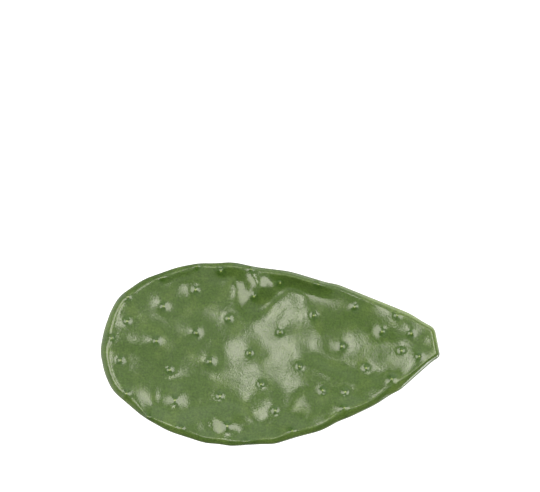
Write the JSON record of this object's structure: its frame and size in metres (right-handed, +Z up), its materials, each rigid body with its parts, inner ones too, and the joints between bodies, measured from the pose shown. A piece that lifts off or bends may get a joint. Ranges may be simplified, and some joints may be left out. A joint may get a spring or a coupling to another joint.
{
  "type": "cactus pad serving dish",
  "caption": "Shallow glazed earthenware dish shaped like a prickly pear pad, with pointed nubs on its floor and rim, a flat-cut stem end and a foot ring.",
  "frame": {"origin": "middle of the bounding box on the table, under the dish's foot ring", "axes": "+X towards the stem end along the length of the dish, +Z up out of the hollow"},
  "size_m": [0.28, 0.152, 0.0214],
  "materials": {
    "glaze": "glossy leaf-green glaze, a little thinner and yellower at the tips of the nubs"
  },
  "bodies": {
    "root": {"dish": "glaze"}
  },
  "joints": []
}
